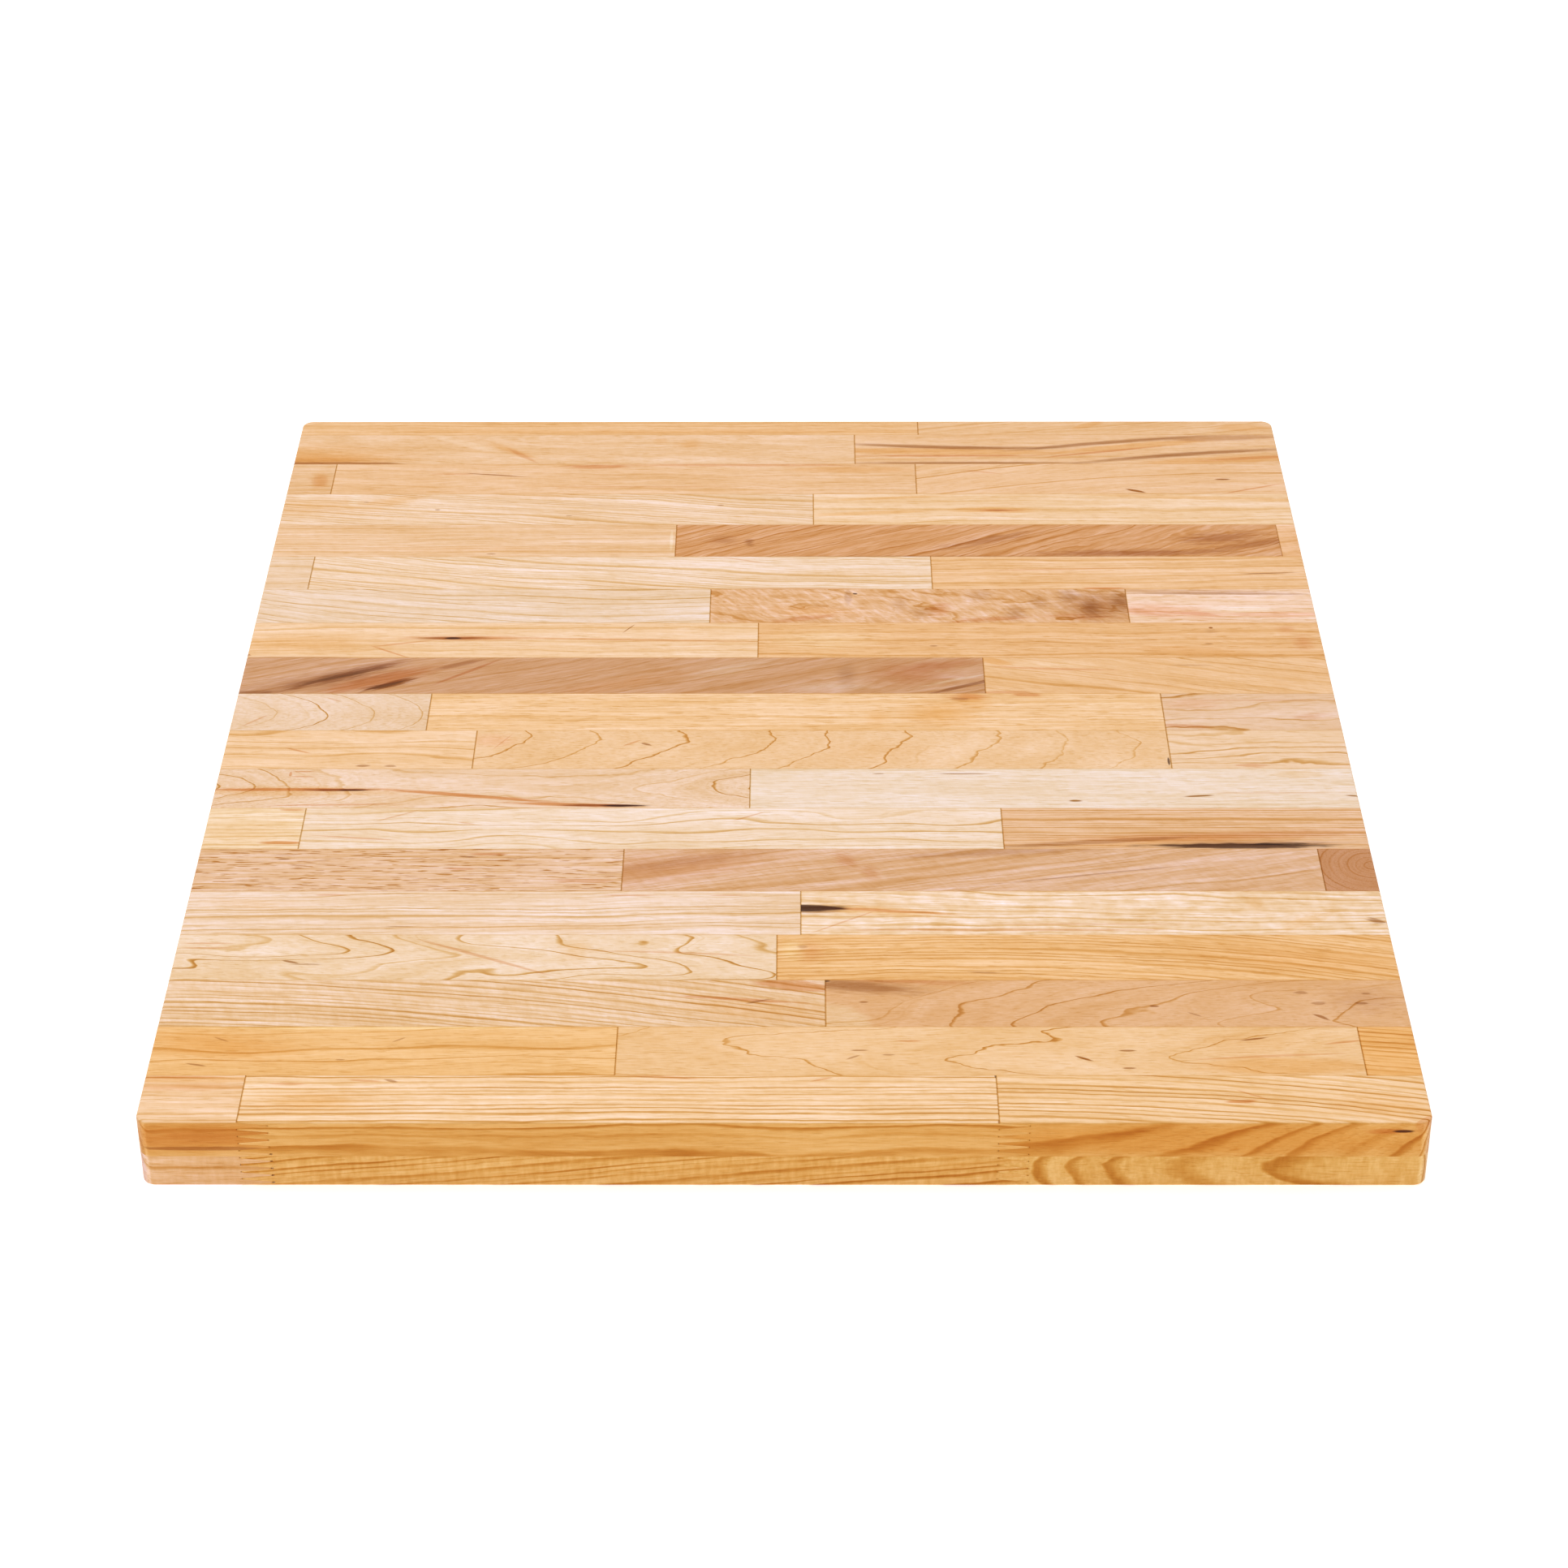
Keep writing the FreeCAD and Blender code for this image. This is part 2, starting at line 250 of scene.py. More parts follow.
    # Glue: a hairline at each edge of the stave and round the fingers of each joint.
    to_edge = b.sum(
        "MINIMUM",
        b.sum("ABSOLUTE", b.sum("SUBTRACT", y, g["Front"])),
        b.sum("ABSOLUTE", b.sum("SUBTRACT", y, g["Back"])),
    )
    seam = b.ramp(to_edge, 0.1, 0.5, 0.25, 0.0)
    half = FINGER_PITCH / 2
    step = b.sum("PINGPONG", z, half)
    run = b.sum("DIVIDE", b.sum("SUBTRACT", step, FINGER_TIP / 2), half - FINGER_TIP, clamp=True)
    finger = b.sum("MULTIPLY", run, FINGER_LENGTH)
    to_joint = b.sum(
        "MINIMUM",
        b.sum("ABSOLUTE", b.sum("SUBTRACT", b.sum("SUBTRACT", x, g["Left joint"]), finger)),
        b.sum("ABSOLUTE", b.sum("SUBTRACT", b.sum("SUBTRACT", x, g["Right joint"]), finger)),
    )
    width = b.mix(flat_on, 1.5, 0.6, "FLOAT")
    seam = b.sum("MAXIMUM", seam, b.ramp(b.sum("DIVIDE", to_joint, width), 0.3, 1.0, 0.45, 0.0))
    depth = b.sum("ADD", depth, seam)

    # Oil turns edge grain golden and end grain a plain tan; this tint goes with the painted shade on the side
    # and end faces.
    edge_tint = (1.04, 1.1, 1.12, 1)
    end_tint = (0.94, 1.02, 1.5, 1)
    left = [b.sum("POWER", base, depth) for base in DEEPER]
    side = b.mix(b.ramp(end_on, 0.4, 0.9), edge_tint, end_tint)
    side_oil_and_shade_tint = b.mix(b.ramp(flat_on, 0.25, 0.9, 1.0, 0.0), (1, 1, 1, 1), side)
    grained = b.mix(1.0, wood, b.vector(*left), blend="MULTIPLY")
    b.feed(result["Colour"], b.mix(1.0, grained, side_oil_and_shade_tint, blend="MULTIPLY"))
    relief = b.sum("MULTIPLY", fibre, -0.8)
    for amount, pattern in ((-0.5, line), (-0.5, dashes), (-0.8, seam), (-0.4, bars)):
        relief = b.sum("MULTIPLY_ADD", pattern, amount, relief)
    b.feed(result["Height"], relief)
    return group


def mark_recipe():
    """A knot, mineral streak or patch of other colour: a ragged spindle laid along the grain."""
    group, g, result = recipe(
        "mark",
        (
            ("Colour", "Color", (1, 1, 1, 1)),
            ("Stain", "Color", (0.2, 0.1, 0.05, 1)),
            ("Strength", "Float", 1.0),
            ("Centre", "Vector", (0, 0, 0)),
            ("Half size", "Vector", (10, 2, 10)),
            ("Slope", "Float", 0.0),
            ("Bend", "Float", 0.0),
            ("Ragged", "Float", 0.5),
            ("Soft", "Float", 0.6),
            ("Seed", "Float", 0.0),
        ),
        (("Colour", "Color"),),
    )
    b = Bench(group)
    place, _ = slab_place(b)
    offset = b.node("VectorMath", {"operation": "SUBTRACT"}, Vector=place)
    b.feed(offset.inputs[1], g["Centre"])
    dx, dy, dz = b.parts(offset.outputs[0])
    bend = b.sum("MULTIPLY", b.sum("MULTIPLY", dx, dx), b.sum("MULTIPLY", g["Bend"], 1 / 100**2))
    dy = b.sum("SUBTRACT", b.sum("SUBTRACT", dy, b.sum("MULTIPLY", dx, g["Slope"])), bend)
    away = b.node("VectorMath", {"operation": "DIVIDE"}, Vector=b.vector(dx, dy, dz))
    b.feed(away.inputs[1], g["Half size"])
    away = b.node("VectorMath", {"operation": "LENGTH"}, Vector=away.outputs[0]).outputs["Value"]
    next_mark = 83.1
    own_place = b.sum("ADD", dx, b.sum("MULTIPLY", g["Seed"], next_mark))
    torn = b.noise(own_place, dy, dz, (14, 1.8, 1.8), detail=3.0)
    away = b.sum("MULTIPLY_ADD", torn, b.sum("MULTIPLY", g["Ragged"], 2.0), away)
    share = b.ramp(away, b.sum("SUBTRACT", 1.0, g["Soft"]), 1.0, 1.0, 0.0)
    stained = b.mix(1.0, g["Colour"], g["Stain"], blend="MULTIPLY")
    share = b.sum("MULTIPLY", share, g["Strength"], clamp=True)
    b.feed(result["Colour"], b.mix(share, g["Colour"], stained))
    return group


MAPLE = maple_recipe()
MARK = mark_recipe()

# What a mark leaves of red, green and blue.
AMBER = (0.94, 0.8, 0.56, 1)


def mark(stain, at, size, strength=1.0, slope=0.0, bend=0.0, ragged=0.4, soft=0.5, up=38.0, deep=8.0):
    """A stain at (along from the slab's middle, across from the stave's middle), size (half
    length, half width) in mm, at the height up and reaching deep mm above and below it."""
    return {
        "at": at, "up": up, "Stain": stain, "Half size": (*size, deep), "Strength": strength,
        "Slope": slope, "Bend": bend, "Ragged": ragged, "Soft": soft,
    }


def patch(stain, at, size, **kind):
    """A stain with a broad soft edge."""
    return mark(stain, at, size, soft=0.9, **kind)


# Wood tones as red, green and blue on a paint card, 0 to 255.
PLAIN_WOOD = (240, 198, 156)


def blank(name, wood, pith, lean=(0, 0), bow=(0, 0), ring=4.0, lower=None, marks=(), **growth):
    """Dress one CAD blank in its own wood.

    pith is (along, across, up) in mm: along from the slab's middle, across from the middle of the
    stave, up from the underside. lean is its slope (across, up), and bow bends it the same two
    ways. lower says what differs in the lower ply.
    """
    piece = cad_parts[name]
    low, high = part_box(name)
    mid = (low[1] + high[1]) / 2 / MM
    material = bpy.data.materials.new(name + "_maple")
    material.use_nodes = True
    tree = material.node_tree
    tree.nodes.clear()
    b = Bench(tree)
    grown = tree.nodes.new("ShaderNodeGroup")
    grown.node_tree = MAPLE
    lower = lower or {}
    # Unless told, the lower board lies the other way up, 90 mm along and 12 mm across.
    under = lower.get("pith", (pith[0] + 90, 12 - pith[1], 2 * GLUE_HEIGHT - pith[2]))
    settings = {
        "Wood": oiled(*wood),
        "Lower wood": oiled(*lower.get("wood", PLAIN_WOOD)),
        "Pith": (pith[0], mid + pith[1], pith[2]),
        "Lower pith": (under[0], mid + under[1], under[2]),
        "Lean": (0, *lean),
        "Lower lean": (0, *lower.get("lean", (-lean[0], -lean[1]))),
        "Lower curl": lower.get("curl", 0.3),
        "Bow": (0, *bow),
        "Ring width": ring,
        "Seed": float(sorted(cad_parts).index(name)),
        "Front": low[1] / MM,
        "Back": high[1] / MM,
    }
    if low[0] > SLAB_LOW[0] + MM:
        settings["Left joint"] = low[0] / MM
    if high[0] < SLAB_HIGH[0] - MM:
        settings["Right joint"] = high[0] / MM - FINGER_LENGTH
    settings.update({key.replace("_", " ").capitalize(): value for key, value in growth.items()})
    for key, value in settings.items():
        grown.inputs[key].default_value = value
    colour = grown.outputs["Colour"]
    seed_step = 3.7
    for number, spot in enumerate(marks):
        stain = tree.nodes.new("ShaderNodeGroup")
        stain.node_tree = MARK
        tree.links.new(colour, stain.inputs["Colour"])
        spot = dict(spot)
        cx, cy = spot.pop("at")
        stain.inputs["Centre"].default_value = (cx, mid + cy, spot.pop("up"))
        stain.inputs["Seed"].default_value = settings["Seed"] * seed_step + number
        for key, value in spot.items():
            stain.inputs[key].default_value = value
        colour = stain.outputs["Colour"]
    bump = b.node("Bump", Height=grown.outputs["Height"], Strength=0.5, Distance=0.0003)
    gloss = b.ramp(grown.outputs["Height"], -0.5, 0.5, 0.55, 0.42)
    oil = b.node("BsdfPrincipled", Base_Color=colour, Normal=bump.outputs[0], Roughness=gloss)
    oil.inputs["IOR"].default_value = 1.46
    oil.inputs["Specular IOR Level"].default_value = 0.12
    output = tree.nodes.new("ShaderNodeOutputMaterial")
    tree.links.new(oil.outputs[0], output.inputs[0])
    if not piece.material_slots:
        piece.data.materials.append(material)
    for slot in piece.material_slots:
        slot.material = material


blank(
    "stave_01_left", (239, 192, 141), (0, 70, 0), ring=5, lines=0.2, bands=0.4, streaks=0.4,
    marks=(patch(AMBER, (-60, -5), (260, 4), strength=0.6),),
)
blank(
    "stave_01_right", (237, 191, 143), (150, -45, -10), lean=(0.13, 0.03), ring=7, wander=12,
    lines=0.35, line_width=0.8, streaks=0.3,
    marks=(
        mark(AMBER, (190, 4), (14, 4), strength=0.8, slope=0.5),
        mark(AMBER, (285, 0), (22, 6), strength=0.7),
    ),
)

# ------------------------------------------------------------------ stave 2
# A pale blank with a swirl, amber at its outer end, joined to a beige one that carries two long
# mineral streaks with orange wood below them.
UMBER = (0.44, 0.23, 0.05, 1)
RUST = (0.8, 0.5, 0.27, 1)
PALE = (1.06, 1.14, 1.3, 1)
SMOKE = (0.68, 0.52, 0.4, 1)


def cloud(stain, at, size, **kind):
    """A stain that fades out from its very middle."""
    return mark(stain, at, size, soft=0.95, **kind)


blank(
    "stave_02_left", (238, 195, 151), (-60, 30, -12), lean=(0.01, 0.05), ring=5, lines=0.12,
    wander=14, ripple=2, streaks=0.35,
    marks=(
        cloud(AMBER, (-300, -9), (95, 24), ragged=0.3),
        patch(AMBER, (-295, -14), (75, 11), strength=0.9),
        mark(UMBER, (-285, -18.5), (60, 2.6), strength=0.7),
        patch(AMBER, (-172, -1), (24, 6), slope=-0.65, ragged=0.5, strength=0.9),
        mark(RUST, (-164, -8), (11, 3), strength=0.45, slope=-0.9, ragged=0.8),
        mark(PALE, (-203, 9), (30, 5), strength=0.8, slope=-0.5),
        patch(AMBER, (-61, 7), (12, 9), strength=0.8, ragged=0.6),
        patch(AMBER, (-79, 11), (7, 6), strength=0.5, ragged=0.6),
    ),
)
blank(
    "stave_02_right", (239, 194, 149), (150, 60, -10), lean=(0.03, 0), ring=5, lines=0.12, streaks=0.3,
    marks=(
        mark(AMBER, (100, -3), (90, 6), slope=-0.02, ragged=0.3),
        mark(AMBER, (215, 4), (62, 5), slope=0.17, bend=-3, ragged=0.3),
        mark(UMBER, (100, 2.6), (92, 3.2), strength=0.8, slope=-0.045, bend=5, ragged=0.2, soft=0.7),
        mark(UMBER, (198, 8.6), (78, 3.2), strength=0.75, slope=0.16, bend=-3, ragged=0.2, soft=0.7),
        mark(SMOKE, (270, 15), (50, 5), strength=0.7, slope=0.05),
        mark(RUST, (100, -8.5), (68, 1.5), strength=0.8, ragged=0.3),
        mark(RUST, (195, -3.5), (45, 1.6), strength=0.7, slope=0.2, ragged=0.3),
        mark(UMBER, (110, -18), (100, 2.2), strength=0.75, ragged=0.25, soft=0.7),
        mark(UMBER, (245, -7), (90, 3.4), strength=0.8, slope=0.14, bend=-5, ragged=0.2, soft=0.7),
        mark(AMBER, (270, -14), (68, 6), slope=0.08, ragged=0.3),
        mark(RUST, (285, -12), (40, 2.5), strength=0.5, slope=0.1),
    ),
)

# ------------------------------------------------------------------ stave 3
# A short end blank, a long honey one and one whose single ring line climbs over its whole length.
blank(
    "stave_03_left", (236, 192, 147), (-290, 60, 0), ring=3, lines=0.1, streaks=0.3,
    marks=(
        patch(AMBER, (-286, -2), (9, 16), ragged=0.5),
        mark(RUST, (-286, -3), (6, 10), strength=0.3),
    ),
)
blank(
    "stave_03_middle", (239, 194, 149), (-120, 50, -10), lean=(0, 0.02), ring=9, lines=0.2, wander=12,
    streaks=0.3, line_width=0.9,
    marks=(
        mark(UMBER, (-178, 5), (22, 0.9), strength=0.85, slope=-0.13),
        mark(RUST, (-205, 6.5), (16, 0.8), strength=0.6),
        mark(RUST, (-118, 16), (26, 3), strength=0.7, ragged=0.6),
        mark(RUST, (-30, 18), (90, 2), strength=0.5, ragged=0.6),
        mark(AMBER, (40, 12), (50, 5), strength=0.7),
        mark(RUST, (-90, -10), (80, 0.6), strength=0.4, ragged=0.3),
    ),
)
blank(
    "stave_03_right", (241, 196, 152), (190, -46.5, 38), lean=(0.14, 0), bow=(-7, 0), ring=24, lines=0.5,
    uneven=0, line_width=1.4, streaks=0.25, bands=0.35,
    marks=(
        mark(UMBER, (213, -15.5), (7, 1.8), slope=-0.35),
        mark(UMBER, (267, -1), (6, 1.1), ragged=0.3),
        mark(RUST, (283, -13), (24, 1), strength=0.7, slope=0.35),
        mark(RUST, (120, 9), (14, 1.2), strength=0.4, slope=-0.2),
    ),
)

# ------------------------------------------------------------------ stave 4
# Pale, close-ringed wood, mottled near its left end, then a blank with one rusty bark fleck.
CREAM = (1.12, 1.38, 1.7, 1)

blank(
    "stave_04_left", (245, 211, 180), (-90, 65, 5), lean=(-0.12, 0), ring=3.2, lines=0.35, wander=9,
    ripple=1.5, streaks=0.35,
    marks=(
        cloud(AMBER, (-290, 4), (70, 18), strength=0.7, ragged=0.5),
        patch(CREAM, (-262, 12), (5, 9), strength=0.3, ragged=0.6),
        patch(CREAM, (-292, 15), (9, 5), strength=0.2, ragged=0.6),
        patch(AMBER, (-235, 12), (26, 9), strength=0.8, slope=0.3, ragged=0.5),
        mark(AMBER, (-150, 17), (40, 4), strength=0.5, ragged=0.6),
        mark(UMBER, (-211, -0.5), (2, 0.7), strength=0.8),
        mark(UMBER, (-40, 5), (2.5, 0.7), strength=0.7),
        mark(UMBER, (-131, -8), (2.5, 0.6), strength=0.6),
        mark(UMBER, (-255, 9), (2, 0.6), strength=0.6),
    ),
)
blank(
    "stave_04_right", (246, 208, 168), (100, 60, -10), ring=6, lines=0.25, wander=10, streaks=0.25,
    marks=(
        mark(AMBER, (60, 14), (45, 2.4), strength=0.7, slope=0.08),
        mark(AMBER, (48, -5), (50, 3), strength=0.8, slope=0.08, ragged=0.5),
        mark(AMBER, (125, -1), (34, 5), strength=0.9),
        patch(RUST, (127, -1.5), (21, 2.2), ragged=0.3),
        patch(UMBER, (128, -1.5), (10, 1.2), strength=0.5, ragged=0.3),
        mark(AMBER, (255, 14), (90, 3), strength=0.6, slope=-0.06, ragged=0.5),
    ),
)

# ------------------------------------------------------------------ stave 5
# A straight honey blank, a dark one with feathered figure, and the finger tips of the blank that
# the side cut took away.

blank(
    "stave_05_left", (241, 200, 160), (-200, -60, 10), ring=3.2, lines=0.18, streaks=0.4,
    marks=(
        mark(UMBER, (-175, -16), (4, 0.8), strength=0.7),
        patch(AMBER, (-180, -10), (120, 6), strength=0.4, ragged=0.6),
        mark(CREAM, (-68.5, 0), (1.3, 16), strength=0.5, ragged=0.2),
    ),
)
blank(
    "stave_05_middle", (221, 163, 113), (110, -50, 0), lean=(0.43, 0.06), ring=3.6, lines=0.5, bands=0.6,
    wander=15, ripple=4, line_width=1, streaks=0.8, curl=0.4, curl_slant=-2.3, curl_width=6.5,
    marks=(
        patch(UMBER, (-22, -2), (4, 6), strength=0.55, ragged=0.9),
        patch(SMOKE, (-38, 0), (12, 9), strength=0.6, ragged=0.9),
        patch(PALE, (-55, 6), (8, 7), strength=0.5, ragged=0.6),
        patch(SMOKE, (120, 0), (40, 7), strength=0.8, slope=0.35, ragged=0.9),
        mark(PALE, (190, 6), (20, 14), strength=0.35, ragged=0.6, soft=0.6),
        mark(SMOKE, (258, 3), (36, 9), strength=0.9, slope=0.12, ragged=0.8, soft=0.8),
        mark(SMOKE, (205, -15), (80, 5.5), slope=0.02, ragged=0.6, soft=0.8),
        mark(SMOKE, (280, -4), (40, 6), strength=0.8, slope=0.25, ragged=0.6, soft=0.8),
        mark(PALE, (280, -17.5), (26, 3), strength=0.9, slope=0.16),
        mark(UMBER, (120, -19.3), (175, 1.2), strength=0.5),
    ),
)
blank("stave_05_right", (245, 198, 157), (300, -30, -10), lean=(0, 0.1), ring=3, lines=0.2, streaks=0.3)

# ------------------------------------------------------------------ stave 6
# Two pale blanks with long thin lines and a golden one at the right.

blank("stave_06_left", (240, 206, 173), (-290, 50, 10), ring=4, lines=0.2, streaks=0.3)
blank(
    "stave_06_middle", (247, 217, 191), (0, 60, 5), lean=(-0.05, 0), bow=(3, 0), ring=2.5, lines=0.34, wander=11,
    streaks=0.3,
    marks=(
        mark(RUST, (-25, 15), (16, 0.9), strength=0.5, slope=-0.3),
        patch(AMBER, (40, 0), (60, 6), strength=0.4),
        mark(RUST, (10, -18.5), (50, 1.2), strength=0.5),
    ),
)
blank(
    "stave_06_right", (243, 197, 150), (200, -55, 0), lean=(0.02, 0), ring=3.4, lines=0.25, wander=6,
    streaks=0.5,
    marks=(
        mark(UMBER, (282, -0.8), (21, 0.9), strength=0.75, slope=0.05, ragged=0.3),
        mark(RUST, (185, -18.5), (16, 1.6), strength=0.9),
        mark(RUST, (160, 4), (50, 0.9), strength=0.45, slope=0.03),
    ),
)

# ------------------------------------------------------------------ stave 7
# Pale wood whose lines sweep down from the left, a burl with a knot, then pink wood.
BLACK = (0.11, 0.06, 0.04, 1)
ROSE = (0.98, 0.84, 0.78, 1)

blank(
    "stave_07_left", (241, 211, 184), (-150, 42, 0), lean=(-0.06, 0), bow=(7, 0), ring=5, lines=0.42,
    uneven=0.25, wander=7, line_width=0.9, streaks=0.3, bands=0.35,
)
blank(
    "stave_07_middle", (231, 181, 134), (70, 14, -20), lean=(-0.12, 0.05), ring=6, lines=0.5, bands=0.7,
    wander=30, ripple=8, curl=0.9, line_width=1, curl_slant=0.8, curl_width=4,
    marks=(
        patch(AMBER, (15, -6), (42, 9), strength=0.9, slope=-0.05, ragged=0.5),
        mark(RUST, (10, -14), (22, 3), strength=0.6, slope=0.15, ragged=0.9),
        mark(UMBER, (36, 10), (3, 10), strength=0.35, ragged=0.5),
        mark(BLACK, (40, 14), (1.8, 1.1), strength=0.9, ragged=0.3),
        cloud(UMBER, (66, 2), (9, 12), strength=0.25, ragged=0.6),
        cloud(UMBER, (78, -8), (10, 10), strength=0.3, ragged=0.6),
        patch(RUST, (88, -4), (9, 13), strength=0.6, ragged=0.9),
        cloud(UMBER, (112, 12), (12, 11), strength=0.25, ragged=0.6),
        cloud(UMBER, (132, -8), (10, 12), strength=0.4, ragged=0.6),
        cloud(UMBER, (146, 4), (9, 13), strength=0.3, ragged=0.6),
        mark(RUST, (118, -15), (26, 3), strength=0.6, slope=0.1, ragged=1.0),
        cloud(UMBER, (164, 12), (10, 10), strength=0.45, ragged=0.6),
        cloud(UMBER, (176, -2), (9, 16), strength=0.5, ragged=0.6),
        cloud(SMOKE, (180, 0), (34, 24), strength=0.9, ragged=0.5),
        patch(UMBER, (194, 6), (10, 16), strength=0.5, ragged=0.5),
        patch(RUST, (170, -12), (30, 6), strength=0.5, ragged=1.0),
    ),
)
blank(
    "stave_07_right", (249, 212, 185), (260, 70, 0), ring=5, lines=0.12, dashes=0.3, streaks=0.4,
    marks=(
        mark(UMBER, (250, 14), (66, 1.5), strength=0.6, slope=-0.01, ragged=0.25),
        mark(SMOKE, (240, 16.5), (60, 2.6), strength=0.5, slope=-0.02),
        patch(ROSE, (222, -6), (48, 11), slope=-0.15, ragged=0.5),
        patch(RUST, (205, -7), (22, 6), strength=0.6, slope=-0.25, ragged=0.5),
        mark(RUST, (235, -9), (22, 2.4), strength=0.5, slope=-0.15, ragged=0.8),
        mark(ROSE, (285, -10), (40, 4), strength=0.9, ragged=0.6),
        mark(CREAM, (262, -4), (30, 4), strength=0.4, ragged=0.6),
    ),
)

# ------------------------------------------------------------------ stave 8
# Golden wood with one long dark knot in its left blank, drawn out along the grain.

blank(
    "stave_08_left", (245, 205, 163), (-200, 60, 0), ring=7, lines=0.2, wander=8, streaks=0.3,
    marks=(
        patch(AMBER, (-285, -4), (75, 17), strength=0.75, ragged=0.3),
        patch(RUST, (-183, 2.4), (52, 3.6), ragged=0.25),
        mark(UMBER, (-189, 2.3), (30, 2.3), strength=0.9, ragged=0.25, soft=0.8),
        mark(BLACK, (-190, 2.3), (6, 1.6), strength=0.9, ragged=0.2),
        mark(RUST, (-85, 0.5), (90, 1.1), strength=0.6, slope=-0.03, ragged=0.3),
        mark(RUST, (-224, -13), (15, 1.1), strength=0.7, slope=-0.6),
        mark(RUST, (-218, -3.5), (20, 1), strength=0.6, slope=0.2),
        mark(UMBER, (-90, 13), (4, 0.8), strength=0.8, slope=1.4, ragged=0.3),
        mark(UMBER, (-306, -15), (4, 2), strength=0.8, slope=-0.6),
        mark(SMOKE, (-280, -19), (40, 1.5), strength=0.7),
    ),
)
blank(
    "stave_08_right", (239, 189, 136), (120, 60, 0), ring=5, lines=0.3, dashes=0.25, wander=8, streaks=0.4,
    marks=(
        cloud(CREAM, (20, 0), (50, 18), strength=0.35, ragged=0.5),
        mark(UMBER, (243, 13.7), (1.6, 1.1), ragged=0.3),
        mark(UMBER, (243, 10), (6, 2.5), strength=0.2, ragged=0.8),
        mark(UMBER, (84, -6.5), (3, 0.9), strength=0.6),
        mark(UMBER, (240, -4), (3, 0.8), strength=0.5),
        cloud(RUST, (294, -3), (9, 12), strength=0.5, ragged=0.5),
        patch(RUST, (286, 12), (8, 6), strength=0.4, ragged=0.8),
        patch(AMBER, (230, -12), (55, 7), strength=0.6, slope=-0.1, ragged=0.6),
    ),
)

# ------------------------------------------------------------------ stave 9
# A long blank of heartwood with a purple-brown flame at its left end, and a honey one.

blank(
    "stave_09_left", (211, 160, 119), (-60, -40, 0), lean=(0.3, 0.03), ring=5, lines=0.2, bands=0.5,
    wander=10, ripple=2, curl=0.25, curl_slant=-2.5, curl_width=5,
    marks=(
        patch(SMOKE, (-262, -6), (60, 13), strength=0.7, slope=0.3, ragged=0.6),
        mark(RUST, (-228, -5), (42, 10), strength=0.9, slope=0.4, soft=0.7),
        mark(UMBER, (-250, -1), (43, 6.5), strength=0.75, slope=0.42, ragged=0.8, soft=0.8),
        patch(SMOKE, (-232, 9), (30, 6), strength=0.9, slope=0.4, ragged=0.9),
        patch(BLACK, (-250, -1), (28, 3), strength=0.4, slope=0.42, ragged=1.1),
        mark(UMBER, (-222, -10), (19, 3.8), strength=0.95, slope=0.42, ragged=0.7),
        mark(BLACK, (-222, -10), (14, 1.8), strength=0.5, slope=0.42, ragged=0.9),
        mark(RUST, (-180, 3), (22, 1.8), strength=0.7, slope=0.75),
        mark(SMOKE, (-184, 12), (16, 3), strength=0.8, slope=0.4, ragged=0.5),
        mark(UMBER, (-296, -18), (18, 2.5), strength=0.6, ragged=0.6),
        patch(AMBER, (-95, -10), (60, 10), strength=0.8, slope=0.3, ragged=0.5),
        cloud(CREAM, (-30, 8), (34, 10), strength=0.45, slope=0.3, ragged=0.8),
        cloud(CREAM, (25, -12), (30, 6), strength=0.45, ragged=0.9),
        cloud(UMBER, (34, 0), (8, 18), strength=0.3, ragged=0.5),
        cloud(RUST, (70, 2), (34, 18), strength=0.6, ragged=0.5),
        patch(RUST, (90, 12), (30, 8), strength=0.55, slope=0.2, ragged=0.7),
        mark(UMBER, (98, -12), (28, 2.2), strength=0.7, slope=0.42, ragged=0.7),
        mark(CREAM, (94, -5), (24, 1.4), strength=0.8, slope=0.36),
    ),
)
blank(
    "stave_09_right", (240, 193, 143), (200, 75, 0), lean=(-0.24, 0), ring=8, uneven=0.3,
    wander=9, line_width=1, streaks=0.3, bands=0.4,
    marks=(
        mark(RUST, (150, 7), (44, 1.4), strength=0.5, slope=-0.05, bend=8),
        patch(PALE, (150, 12), (36, 5), strength=0.9, ragged=0.3),
        mark(AMBER, (118, 15), (12, 4), strength=0.9, slope=-0.3),
        mark(UMBER, (228, 11), (14, 0.8), strength=0.4),
        mark(RUST, (122, -18), (20, 2), strength=0.5),
    ),
)

# ------------------------------------------------------------------ stave 10
# A short pale blank with nested arches, a long golden one and a pinkish end.
blank(
    "stave_10_left", (240, 207, 177), (-255, -1, -5.1), lean=(0, -0.2), ring=5.4, lines=0.85, uneven=0,
    wander=3, line_width=0.2, streaks=0.2, bands=0.25,
    marks=(
        mark(RUST, (-251, 13), (5, 0.8), strength=0.5, slope=-0.5),
        mark(RUST, (-292, -9), (9, 1.2), strength=0.5, slope=0.9, ragged=0.7),
    ),
)
blank(
    "stave_10_middle", (247, 204, 157), (0, -70, 0), ring=3.2, lines=0.12, dashes=0.28, streaks=0.45,
    marks=(
        cloud(AMBER, (85, -2), (32, 20)),
        cloud(AMBER, (50, -6), (10, 14), strength=0.6, ragged=0.7),
        patch(AMBER, (103, 12), (16, 12), strength=0.9, ragged=0.8),
        mark(RUST, (101, 16), (15, 4.5), strength=0.7, ragged=0.6, soft=0.8),
        mark(UMBER, (97, 13.5), (7, 1.6), strength=0.5, ragged=0.9),
        mark(RUST, (134, 18), (10, 2.6), strength=0.7, ragged=0.8),
        patch(PALE, (175, 8), (30, 8), strength=0.5, slope=0.2),
    ),
)
